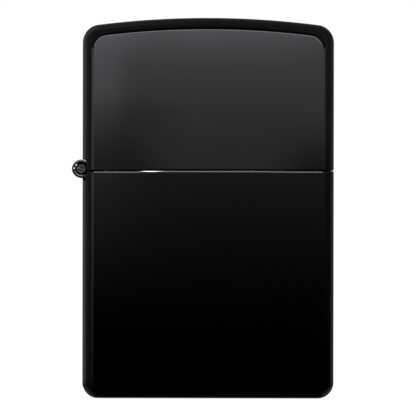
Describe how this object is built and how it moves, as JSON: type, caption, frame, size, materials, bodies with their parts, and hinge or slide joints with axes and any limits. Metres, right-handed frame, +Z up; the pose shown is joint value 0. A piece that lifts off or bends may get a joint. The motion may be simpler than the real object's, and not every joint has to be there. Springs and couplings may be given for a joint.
{
  "type": "lighter",
  "caption": "Flip-lid windproof petrol lighter in glossy black, with a hinged lid, perforated wind screen, flint wheel, cam, wick and removable tank.",
  "frame": {"origin": "centre of the case's flat base", "axes": "+Z up, towards the lid's crown; -Y out of the front face; -X towards the hinge"},
  "size_m": [0.0393, 0.013, 0.0572],
  "materials": {
    "black_gloss": "polished gloss black over brass",
    "hinge_black": "gloss black over steel",
    "pin_steel": "swaged steel ends",
    "insert_steel": "satin drawn stainless steel",
    "spring_steel": "plain",
    "rivet_chrome": "bright",
    "wheel_steel": "dark hardened steel",
    "brass": "satin",
    "flint": "matt",
    "cotton": "loose wadding",
    "wick_cotton": "braided cord",
    "felt": "pressed felt"
  },
  "bodies": {
    "case": {"lower_case": "black_gloss", "hinge_leaf_lower": "hinge_black", "hinge_pin": "pin_steel", "insert_can": "insert_steel", "insert_deck": "insert_steel", "chimney": "insert_steel", "cam_rivet": "rivet_chrome", "cam_spring": "spring_steel", "cam_spring_rivet": "rivet_chrome", "wheel_rivet": "rivet_chrome", "flint_tube": "brass", "flint_spring": "spring_steel", "spring_screw": "brass", "wick": "wick_cotton", "felt_pad": "felt", "cotton_1": "cotton", "cotton_2": "cotton", "cotton_3": "cotton", "cotton_4": "cotton", "cotton_5": "cotton"},
    "lid_body": {"lid": "black_gloss", "hinge_leaf_upper": "hinge_black"},
    "cam_body": {"cam": "spring_steel"},
    "wheel_body": {"flint_wheel": "wheel_steel"},
    "flint_body": {"flint": "flint", "spring_plunger": "brass"}
  },
  "joints": [
    {"name": "lid_hinge", "type": "hinge", "parent": "case", "child": "lid_body", "pos_m": [-0.01907, 0, 0.03446], "axis": [0, -1, 0], "range_deg": [0, 135]},
    {"name": "wheel_spin", "type": "hinge", "parent": "case", "child": "wheel_body", "pos_m": [0.0102, 0, 0.0464], "axis": [0, 1, 0], "continuous": true},
    {"name": "cam_rock", "type": "hinge", "parent": "case", "child": "cam_body", "pos_m": [-0.009, 0, 0.0444], "axis": [0, -1, 0], "range_deg": [0, 8], "stiffness_Nm_per_rad": 0.01, "springref_deg": -5.73, "deforming": ["cam_spring"]},
    {"name": "flint_feed", "type": "slide", "parent": "case", "child": "flint_body", "axis": [0, 0, 1], "range_m": [-0.002, 0], "stiffness_N_per_m": 60, "springref_m": 0.02, "deforming": ["flint_spring"]}
  ]
}
